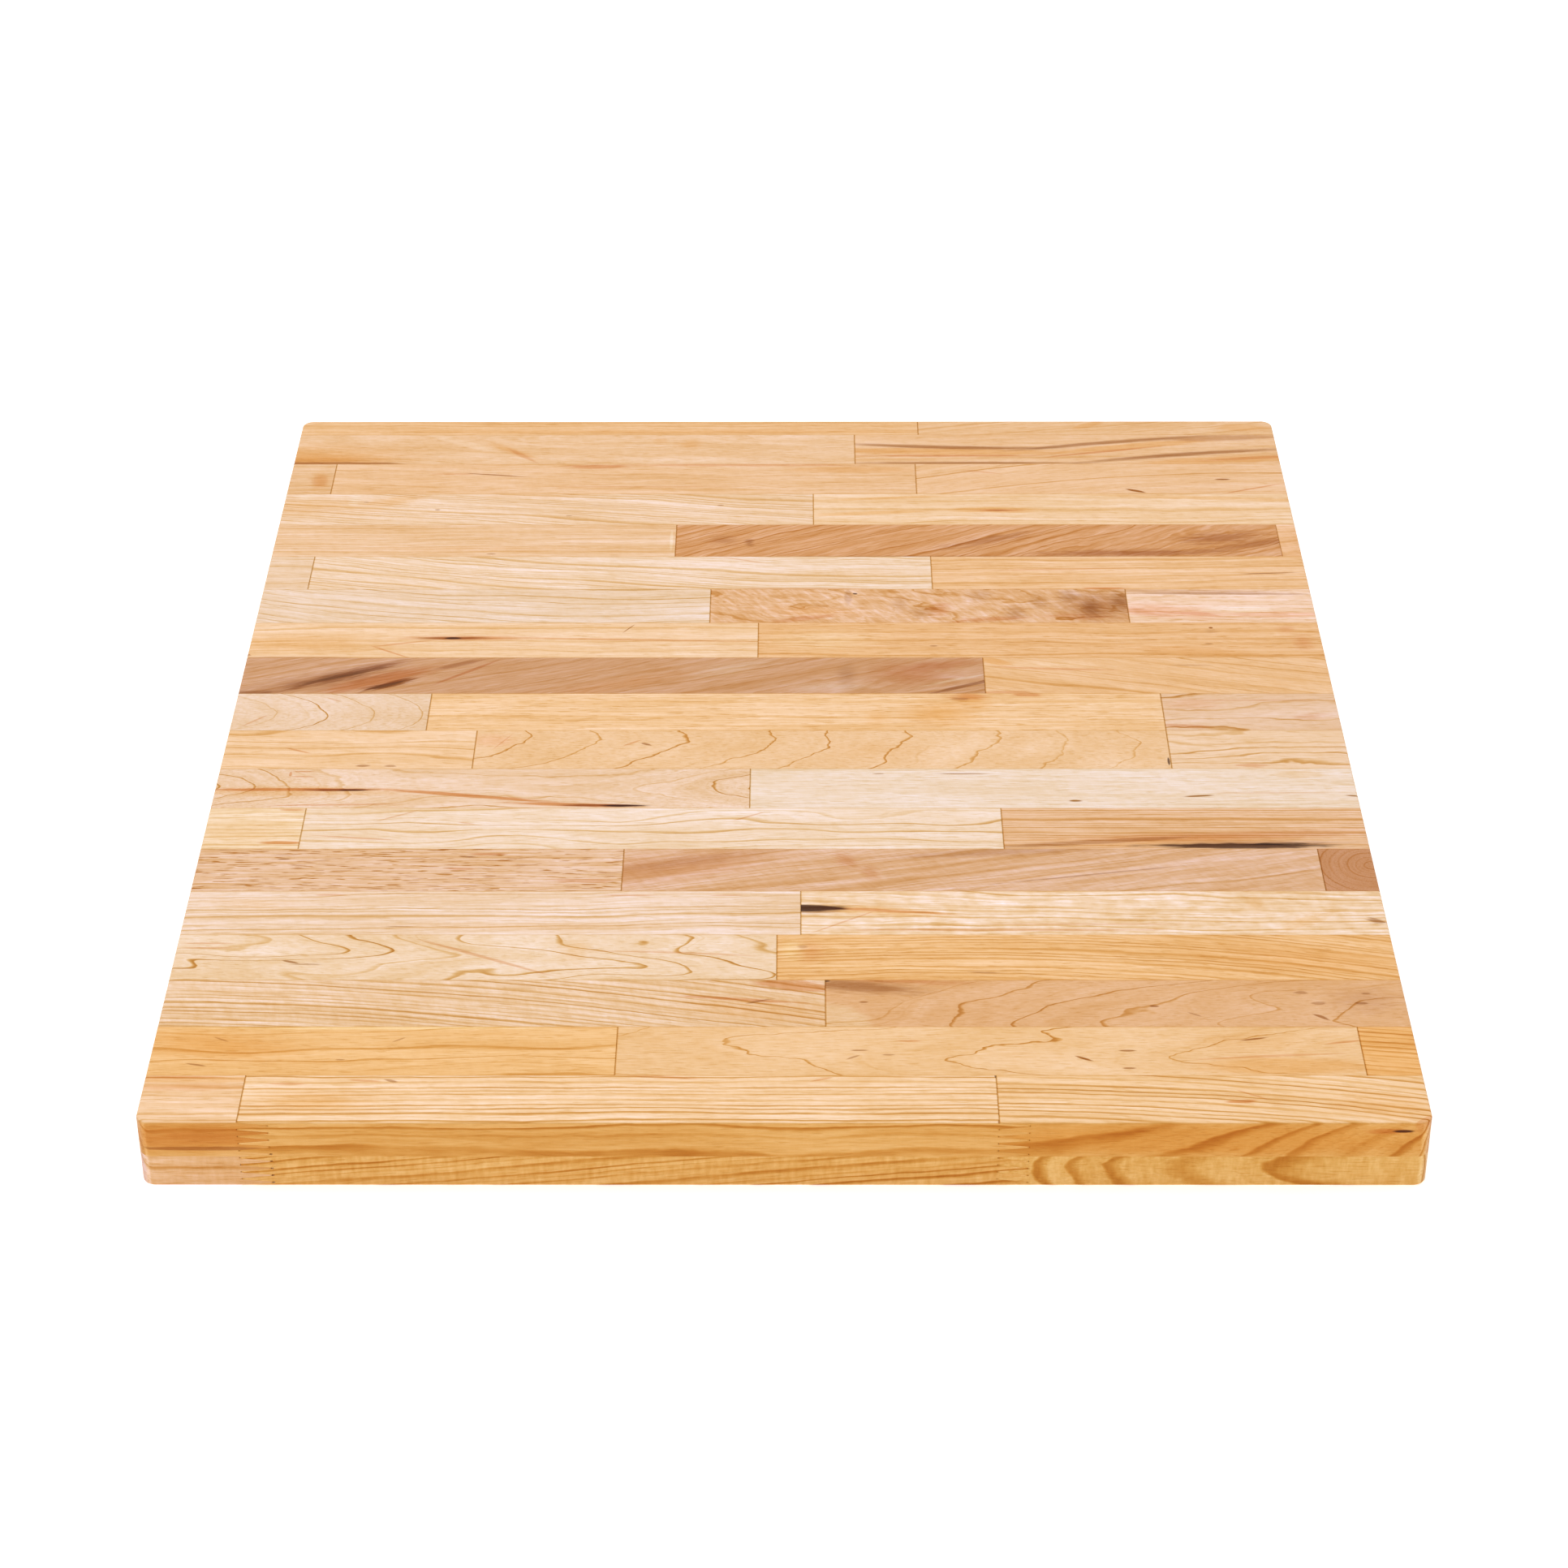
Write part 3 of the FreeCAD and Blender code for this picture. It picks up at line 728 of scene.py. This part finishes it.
blank(
    "stave_10_right", (237, 198, 164), (300, -30, 20), lean=(0.06, 0), ring=11, lines=0.75, uneven=0,
    wander=24, ripple=4, line_width=1.2, streaks=0.2, bands=0.35,
    marks=(
        mark(RUST, (262, 12), (52, 0.7), strength=0.5),
        patch(RUST, (290, -5), (14, 5), strength=0.45, ragged=0.8),
        mark(RUST, (220, -15), (16, 2.4), strength=0.6, slope=-0.08, ragged=0.7),
        patch(ROSE, (225, 8), (24, 9), strength=0.6),
    ),
)

# ------------------------------------------------------------------ stave 11
# Gold, then the blank with the clearest arches, one every 40 mm or so, then a cream end.
blank(
    "stave_11_left", (246, 205, 162), (-240, 40, 0), lean=(-0.03, 0), ring=7, lines=0.35, wander=14,
    streaks=0.25, line_width=1,
    marks=(
        mark(UMBER, (-228, -16.5), (5, 1.3), strength=0.7),
        mark(UMBER, (-213, -16.5), (4, 1.3), strength=0.6),
        mark(RUST, (-265, -1), (9, 0.9), strength=0.7, slope=-0.4),
        mark(BLACK, (-168, -16), (0.9, 3), strength=0.8, ragged=0.1),
    ),
)
blank(
    "stave_11_middle", (243, 201, 156), (0, 12, -72), lean=(-0.03, -0.145), ring=6, lines=0.8, uneven=0.12,
    ripple=1.5, line_width=0.22, streaks=0.2, bands=0.3,
    marks=(
        mark(ROSE, (-160, 9), (18, 9), strength=0.7, ragged=0.3, soft=0.8),
        mark(RUST, (-154, 8), (6, 1), strength=0.5, slope=1.6),
        mark(UMBER, (-76, 5.6), (3.5, 1.2), strength=0.8, slope=-0.4, ragged=0.6),
        mark(RUST, (-84, 6), (5, 1.2), strength=0.6, slope=0.6, ragged=0.9),
        mark(BLACK, (207, -12), (0.9, 5), strength=0.85, ragged=0.1),
        cloud(AMBER, (50, -2), (40, 18), strength=0.3, ragged=0.5),
    ),
)
blank(
    "stave_11_right", (244, 208, 173), (260, 24, 24), ring=7, lines=0.75, uneven=0,
    wander=26, ripple=4, line_width=1.3, streaks=0.2, bands=0.4,
    marks=(mark(RUST, (252, -16), (10, 2.4), strength=0.6, ragged=0.9),),
)

# ------------------------------------------------------------------ stave 12
# A pale figured blank with a brown streak that ends black at the edge, then the whitest wood.

blank(
    "stave_12_left", (242, 207, 176), (-150, 2, 9), bow=(0, 10), ring=6, lines=0.75, uneven=0,
    wander=11, ripple=2.5, line_width=0.5, streaks=0.3, bands=0.5,
    marks=(
        mark(AMBER, (-260, -3), (70, 6), strength=0.8),
        mark(RUST, (-262, -1.2), (62, 1.9), ragged=0.35),
        mark(UMBER, (-238, -1.6), (22, 1.5), strength=0.95, ragged=0.5),
        mark(BLACK, (-231, -1.8), (10, 0.9), strength=0.7, ragged=0.6),
        mark(RUST, (-170, -7), (58, 2.1), slope=-0.14, ragged=0.3),
        mark(RUST, (-112, -16), (46, 2.2), slope=-0.05, ragged=0.3),
        mark(UMBER, (-100, -16.5), (26, 1.6), strength=0.9),
        mark(BLACK, (-86, -17), (15, 1.4), strength=0.95),
        mark(RUST, (-259, 16.5), (8, 0.7), strength=0.8, ragged=0.3),
        mark(RUST, (-259, 11.5), (8, 0.7), strength=0.8, ragged=0.3),
        mark(RUST, (-266, 14), (1.0, 3), strength=0.8, ragged=0.3),
        mark(RUST, (-240, -16), (44, 1), strength=0.6, slope=0.02, ragged=0.3),
    ),
)
blank(
    "stave_12_right", (245, 220, 198), (100, 70, 0), ring=5, lines=0.1, streaks=0.25, bands=0.25,
    marks=(
        mark(UMBER, (154, -12.2), (4.5, 1.1), ragged=0.3),
        mark(UMBER, (220, -7.6), (10, 1.1), slope=0.08, ragged=0.3),
        mark(UMBER, (96, 14.3), (18, 0.8), strength=0.7, ragged=0.3),
        mark(UMBER, (50, 14.3), (4, 0.7), strength=0.6, ragged=0.3),
        mark(UMBER, (302, -7.4), (5, 0.9), strength=0.9, slope=-0.1, ragged=0.3),
        mark(RUST, (262, -4.5), (44, 0.8), strength=0.35, ragged=0.3),
        mark(AMBER, (275, 14), (20, 5), strength=0.5, ragged=0.6),
    ),
)

# ------------------------------------------------------------------ stave 13
# A short golden blank, very pale wood with smooth far-apart lines, and tan wood with a black streak.

blank(
    "stave_13_left", (248, 216, 178), (-280, 60, 0), ring=4, lines=0.25,
    marks=(
        cloud(AMBER, (-285, -4), (40, 16), strength=0.4),
        mark(RUST, (-263, -13.5), (15, 2), ragged=0.3),
        mark(RUST, (-261, 17.5), (8, 1.2), strength=0.8),
    ),
)
blank(
    "stave_13_middle", (247, 219, 193), (-160, 34, 8), lean=(0, -0.02), ring=5.5, lines=0.55, uneven=0.2,
    wander=20, line_width=0.9, streaks=0.25, bands=0.4,
    marks=(
        mark(RUST, (-225, -9), (26, 1.1), strength=0.6, slope=-0.1),
        mark(RUST, (-205, 12), (14, 0.8), strength=0.5, slope=0.5),
        mark(RUST, (-20, 11), (10, 0.9), strength=0.6, slope=0.5),
        mark(RUST, (-168, 5), (6, 0.7), strength=0.6, slope=-0.2),
    ),
)
blank(
    "stave_13_right", (239, 195, 156), (200, 70, 0), ring=2.6, wander=2.5,
    marks=(
        patch(AMBER, (200, -12), (110, 10), slope=0.02, ragged=0.3),
        mark(RUST, (235, -7), (110, 6), strength=0.5, slope=0.05, ragged=0.3, soft=0.8),
        mark(UMBER, (160, -13), (66, 2.6), strength=0.5, slope=0.09, ragged=0.3),
        mark(UMBER, (250, -14), (62, 3.2), strength=0.45, soft=0.8),
        mark(BLACK, (236, -16.4), (60, 3.2), strength=0.95),
        mark(BLACK, (262, -14.5), (20, 1.4), strength=0.7, ragged=0.9),
    ),
)

# ------------------------------------------------------------------ stave 14
# Pinkish tan wood full of short pore dashes, brown wood with a slanting figure, and an end.

blank(
    "stave_14_left", (235, 193, 156), (-200, 80, 0), ring=4, lines=0.15, dashes=1.0, streaks=1.1,
    marks=(
        mark(RUST, (-155, 14.5), (12, 1.2), strength=0.8),
        mark(RUST, (-168, 1), (10, 1.2), strength=0.7),
        mark(RUST, (-105, -10), (20, 2.4), strength=0.5, ragged=0.8),
        mark(UMBER, (-260, 10), (4, 0.9), strength=0.7),
        mark(UMBER, (-165, 12), (5, 0.8), strength=0.6),
    ),
)
blank(
    "stave_14_middle", (227, 180, 140), (100, -60, 0), lean=(0.2, 0), ring=6, lines=0.22, bands=0.9,
    wander=8, curl=0.3, curl_slant=0.8, line_width=1.2,
    marks=(
        cloud(RUST, (-60, 2), (85, 20), strength=0.45, slope=0.2),
        cloud(SMOKE, (-50, 8), (60, 8), strength=0.4, slope=0.2, ragged=0.5),
        patch(RUST, (32, 8), (9, 10), strength=0.55, slope=-0.5, ragged=0.7),
        patch(RUST, (44, -2), (7, 9), strength=0.4, slope=-0.5, ragged=0.7),
        patch(SMOKE, (110, 16), (80, 5), strength=0.6, slope=0.08, ragged=0.5),
        patch(PALE, (200, -13), (70, 7), strength=0.7, slope=0.1, ragged=0.5),
        mark(UMBER, (160, -4), (60, 0.8), strength=0.5, slope=0.17, ragged=0.6),
    ),
)
blank(
    "stave_14_right", (204, 145, 101), (303, 4, 38), lean=(0, 0.9), ring=4, lines=0.3, uneven=0,
    wander=3, line_width=0.9, streaks=0.3,
)

# ------------------------------------------------------------------ stave 15
# Pinkish cream wood, then honey wood with a black mineral wedge at the joint.

blank(
    "stave_15_left", (246, 215, 189), (-150, -55, 5), lean=(0.02, 0), ring=3.6, wander=9,
    streaks=0.45,
    marks=(
        mark(RUST, (-232, 16), (10, 1.2), strength=0.6),
        mark(RUST, (-80, 15.5), (16, 1.1), strength=0.6),
        mark(RUST, (-30, 15.5), (12, 0.8), strength=0.5),
        mark(UMBER, (-195, -12), (8, 0.6), strength=0.5),
        patch(AMBER, (-270, 8), (34, 8), strength=0.5, slope=-0.1),
        patch(PALE, (-190, 4), (50, 5), strength=0.5),
        patch(AMBER, (-130, -12), (120, 5), strength=0.5, ragged=0.5),
    ),
)
blank(
    "stave_15_right", (250, 218, 187), (120, 45, -5), lean=(0, 0.02), ring=3.4, lines=0.45, wander=8,
    curl=0.55, curl_slant=0.2, curl_width=9,
    marks=(
        mark(AMBER, (45, 2), (50, 5), slope=-0.1),
        mark(RUST, (50, 2), (44, 1.6), strength=0.75, slope=-0.09),
        mark(UMBER, (12, 3), (22, 4.2), strength=0.6, ragged=0.3),
        mark(BLACK, (6, 4.3), (31, 3.8), strength=0.95, ragged=0.3, soft=0.35),
        mark(RUST, (28, -9), (22, 1), strength=0.5, slope=0.6),
        mark(RUST, (110, -15), (100, 1.3), strength=0.6),
        mark(RUST, (150, -10), (70, 0.9), strength=0.4),
        patch(AMBER, (262, -8), (22, 9), strength=0.7, slope=0.5, ragged=0.5),
        patch(AMBER, (240, 8), (7, 12), strength=0.5),
        mark(UMBER, (299, -7), (6, 2.6), strength=0.8, slope=-0.3, ragged=0.8),
    ),
)

# ------------------------------------------------------------------ stave 16
# Pale wood with a bold wandering figure, then golden wood with fine lines that fall to the right.

blank(
    "stave_16_left", (244, 211, 175), (-230, 10, 0), lean=(-0.06, -0.1), ring=5, lines=0.9, uneven=0.25,
    wander=24, line_width=0.5, streaks=0.25, bands=0.5,
    marks=(
        mark(UMBER, (-246, -4), (5, 1), strength=0.8, slope=-0.3),
        mark(UMBER, (-238, -6), (9, 0.7), strength=0.6),
        mark(RUST, (-290, 12), (16, 0.9), strength=0.6, ragged=0.3),
        mark(RUST, (-290, 8), (16, 0.9), strength=0.6, ragged=0.3),
        patch(AMBER, (-105, 6), (12, 14), strength=0.6, ragged=0.5),
        mark(RUST, (-150, 0), (42, 1.6), strength=0.6, slope=-0.45),
        mark(RUST, (-55, 4), (50, 1), strength=0.5, slope=-0.05, bend=-6),
    ),
)
blank(
    "stave_16_right", (245, 195, 137), (150, -65, 5), lean=(-0.07, 0), bow=(-5, 0), ring=3.3, lines=0.42,
    dashes=0.25, streaks=0.5, wander=5,
    marks=(
        mark(CREAM, (4, 6), (10, 12), strength=0.5, soft=0.8),
        cloud(RUST, (13, 5), (10, 14), strength=0.4),
        mark(UMBER, (9, 9), (4, 2.4), strength=0.4, ragged=0.8),
        mark(PALE, (45, -8), (60, 1.4), strength=0.8, slope=-0.04, bend=-3, ragged=0.3),
        mark(UMBER, (100, -13), (10, 1), strength=0.5, slope=-0.08),
        cloud(AMBER, (260, -2), (70, 17), strength=0.6, slope=-0.1, ragged=0.5),
    ),
)

# ------------------------------------------------------------------ stave 17
# Lines slant across the pale left blank and turn curly at its end; the right one is tan with an
# open cathedral near the side.
blank(
    "stave_17_left", (242, 205, 168), (-160, 60, 10), lean=(-0.13, 0), bow=(-3, 0), ring=3.2, lines=0.62,
    curl=0.3, curl_width=3.5, uneven=0.2, streaks=0.5,
    marks=(
        patch(AMBER, (-10, -6), (64, 15), strength=0.7, slope=-0.1, ragged=0.5),
        mark(RUST, (-20, 3), (34, 1.6), strength=0.8, slope=-0.1, ragged=0.6),
        mark(UMBER, (-12, 2), (8, 1.4), strength=0.6, slope=0.3, ragged=0.8),
        mark(RUST, (4, 15), (26, 6), strength=0.8, slope=-0.15, ragged=0.7),
        patch(PALE, (-38, 10), (18, 5), strength=0.6, ragged=0.6),
        patch(PALE, (-290, 4), (60, 8), strength=0.4, slope=-0.1),
    ),
)
blank(
    "stave_17_right", (231, 179, 128), (285, -10, -4), lean=(0.02, 0.11), ring=6, lines=0.65, uneven=0.1,
    wander=15, ripple=1.1, streaks=0.25, line_width=0.28,
    marks=(
        mark(UMBER, (36, 14), (44, 7.5), strength=0.7, slope=-0.12, soft=0.8),
        patch(RUST, (60, 18), (44, 3), strength=0.6, slope=-0.05, ragged=0.5),
        mark(BLACK, (20, 18.5), (3, 1.4), strength=0.7, ragged=0.5),
        mark(CREAM, (20, -19), (25, 21), strength=0.6, ragged=0.12, soft=0.25),
        mark(UMBER, (39, 1), (3, 0.9), strength=0.7),
        mark(UMBER, (181, -2.3), (3, 1), strength=0.8),
        mark(UMBER, (200, -9), (4, 0.9), strength=0.5, slope=-0.5),
        mark(UMBER, (262, -11), (4, 1.6), strength=0.8, slope=-0.6, ragged=0.8),
        mark(UMBER, (254, 9), (4, 1.6), strength=0.5, ragged=0.9),
        mark(UMBER, (262, 0), (4, 1.6), strength=0.5, ragged=0.9),
        mark(UMBER, (283, 0), (4, 1.4), strength=0.6, ragged=0.9),
        mark(UMBER, (286, 8), (3, 0.8), strength=0.6),
        cloud(SMOKE, (285, 2), (26, 16), strength=0.4, ragged=0.6),
    ),
)

# ------------------------------------------------------------------ stave 18
# Orange-gold wood, a long honey blank with open V figures, and a small lined end.

blank(
    "stave_18_left", (246, 195, 132), (-200, -45, 0), lean=(0.02, 0.01), ring=7, wander=16,
    dashes=0.2, streaks=0.3, line_width=1,
    marks=(
        mark(CREAM, (-200, 18.5), (110, 1.8), strength=0.6, ragged=0.2),
        cloud(AMBER, (-275, 4), (60, 17), strength=0.95, slope=-0.1, ragged=0.5),
        mark(UMBER, (-282, -11), (6, 0.8), strength=0.7, slope=-0.2),
        mark(UMBER, (-272, 9), (5, 0.8), strength=0.5, slope=-0.5),
        mark(UMBER, (-186, 9), (4, 0.8), strength=0.5, slope=0.6),
        mark(UMBER, (-213, -7), (3, 0.7), strength=0.5),
    ),
)
blank(
    "stave_18_middle", (245, 200, 148), (12, -1, -38.6), lean=(0, 0.06), ring=6, lines=0.85, uneven=0,
    wander=6, ripple=1.6, line_width=0.15, streaks=0.2, bands=0.3,
    marks=(
        mark(UMBER, (144, -6), (5, 1.2), slope=-0.45, ragged=0.3),
        mark(UMBER, (227, 9.5), (8, 0.9), strength=0.9, slope=0.2, ragged=0.3),
        mark(UMBER, (165, 0.3), (5, 0.9), strength=0.8, ragged=0.3),
        mark(UMBER, (165, -13.6), (4, 0.9), strength=0.8, ragged=0.3),
        mark(UMBER, (36, 0.5), (5, 0.7), strength=0.7),
        mark(UMBER, (33, -5), (4, 1), strength=0.6, slope=0.5),
        mark(UMBER, (50, -3), (4, 0.7), strength=0.6),
        mark(RUST, (60, 8), (8, 0.8), strength=0.7),
        mark(RUST, (270, 7), (12, 0.9), strength=0.7, slope=0.15),
        mark(RUST, (232, -4), (44, 1), strength=0.5, slope=0.07, bend=-4),
        mark(AMBER, (240, -12), (52, 9), strength=0.9, ragged=0.2),
        cloud(AMBER, (225, 6), (50, 12), strength=0.35),
    ),
)
blank(
    "stave_18_right", (245, 187, 118), (290, -50, 10), lean=(-0.12, 0), ring=3.2, lines=0.6, uneven=0.1,
    streaks=0.4, wander=2,
)

# ------------------------------------------------------------------ stave 19, at the front edge
# Pinkish, honey and slant-grained blanks. Their edge grain and lower plies make the front face, where the first
# joint was short of glue and left holes at its finger tips.
# Heights of those holes, in mm above the underside. Black is painted into them as shadow, darker than the light
# alone leaves them.
FINGER_HOLE_SHADOWS = (2.1, 6.3, 10.6, 14.8, 18.6)

blank(
    "stave_19_left", (248, 206, 163), (-280, 60, 10), ring=4.5, lines=0.35, streaks=0.5,
    lower={"wood": (254, 223, 222), "pith": (-280, 60, -30)},
    marks=(
        mark(AMBER, (-280, 15), (70, 3), strength=0.9),
        mark(RUST, (-290, 16.5), (30, 1), strength=0.6),
        patch(ROSE, (-285, 9), (50, 4), strength=0.7),
        mark(AMBER, (-280, -18), (80, 6), up=29, deep=11, ragged=0.2),
        patch(RUST, (-275, -19), (80, 6), strength=0.45, up=29, deep=9),
        mark(UMBER, (-275, -19), (38, 6), strength=0.6, up=22.5, deep=1.5),
        # Painted shadow: black painted into the glue holes at the finger tips, deeper than their real shade.
        *(
            mark(BLACK, (-241.8, -19), (1.5, 2), strength=0.9, up=up, deep=0.7, ragged=0)
            for up in FINGER_HOLE_SHADOWS
        ),
    ),
)
blank(
    "stave_19_middle", (253, 214, 172), (-50, -70, 5), ring=3.2, lines=0.7, wander=5, streaks=0.4,
    uneven=0.25, lower={"wood": (255, 219, 178), "pith": (-50, -40, -30), "lean": (0, 0.1), "curl": 0.6},
    marks=(
        cloud(AMBER, (-225, -3), (40, 12), strength=0.8),
        mark(UMBER, (-187, 13.6), (4, 1.2), strength=0.7, slope=-0.3),
        mark(RUST, (-200, 14), (10, 1), strength=0.6, slope=-0.1),
        mark(RUST, (-236, 11.5), (12, 1.1), strength=0.6),
        mark(BLACK, (101, 17.5), (0.9, 1.8), strength=0.7, ragged=0.2, deep=1.5),
        mark(UMBER, (101, -17.5), (0.8, 1.6), strength=0.7, ragged=0.2, deep=1.0),
        mark(RUST, (18, 15), (7, 0.9), strength=0.6, slope=0.3),
        mark(RUST, (-60, 17), (26, 1.4), strength=0.5, slope=-0.08),
    ),
)
blank(
    "stave_19_right", (250, 208, 160), (200, 70, 5), lean=(-0.1, 0), bow=(-5, 0), ring=3.4, lines=0.72,
    uneven=0.2, streaks=0.4,
    lower={"wood": (255, 222, 180), "pith": (200, -60, 10), "curl": 0.6},
    marks=(
        mark(RUST, (217, -2), (9, 1.5), strength=0.9, slope=0.05, ragged=0.7),
        mark(RUST, (222, 3), (8, 0.9), strength=0.6, slope=-0.5, ragged=0.5),
        mark(AMBER, (205, -19), (170, 5), up=28, deep=13, ragged=0.2, soft=0.6),
        cloud(AMBER, (285, -6), (40, 16), strength=0.6, slope=-0.1),
        mark(RUST, (300, -17), (8, 3), strength=0.5, slope=0.8),
        mark(BLACK, (291, -19), (6, 6), strength=0.95, up=32.9, deep=1.1, ragged=0.2),
        mark(RUST, (285, -19), (16, 6), strength=0.7, up=32.9, deep=2.0),
    ),
)

# ------------------------------------------------------------------ the studio
# A white table, a bright even room, one large soft light overhead and the camera on its stand.
# They aren't part of the slab.
floor_mesh = bpy.data.meshes.new("studio_floor")
reach = 12.0
floor_mesh.from_pydata(
    [(-reach, -reach, 0), (reach, -reach, 0), (reach, reach, 0), (-reach, reach, 0)], [], [(0, 1, 2, 3)]
)
floor = bpy.data.objects.new("studio_floor", floor_mesh)
bpy.context.scene.collection.objects.link(floor)
paper = bpy.data.materials.new("white_paper")
paper.use_nodes = True
paint = paper.node_tree.nodes["Principled BSDF"]
paint.inputs["Base Color"].default_value = (0.9, 0.9, 0.9, 1)
paint.inputs["Roughness"].default_value = 0.9
paint.inputs["Emission Color"].default_value = (1, 1, 1, 1)
paint.inputs["Emission Strength"].default_value = 0.5
floor_mesh.materials.append(paper)

scene = bpy.context.scene
world = bpy.data.worlds.new("bright_room")
scene.world = world
world.use_nodes = True
world.node_tree.nodes["Background"].inputs["Color"].default_value = (1, 1, 1, 1)
world.node_tree.nodes["Background"].inputs["Strength"].default_value = 0.7

lamp = bpy.data.lights.new("overhead_softbox", "AREA")
lamp.shape = "RECTANGLE"
lamp.size = 2.4
lamp.size_y = 1.8
lamp.energy = 23
softbox = bpy.data.objects.new("overhead_softbox", lamp)
softbox.location = (-0.5, 0.3, 2.4)
scene.collection.objects.link(softbox)

scene.view_settings.view_transform = "Standard"
scene.view_settings.look = "None"

eye = bpy.data.cameras.new("camera")
eye.sensor_width = 36.0
eye.lens = 84.58
camera = bpy.data.objects.new("camera", eye)
EYE_RIGHT = 0.0062
EYE_BACK = 1.3615
EYE_UP = 1.0745
LOOK_LEFT = radians(0.24)
LOOK_DOWN = radians(33.03)
ROLL = radians(-0.14)
stand = Matrix.Translation((EYE_RIGHT, SLAB_LOW[1] - EYE_BACK, SLAB_HIGH[2] + EYE_UP))
turn = Matrix.Rotation(LOOK_LEFT, 4, "Z") @ Matrix.Rotation(radians(90) - LOOK_DOWN, 4, "X")
camera.matrix_world = stand @ turn @ Matrix.Rotation(ROLL, 4, "Z")
scene.collection.objects.link(camera)
scene.camera = camera
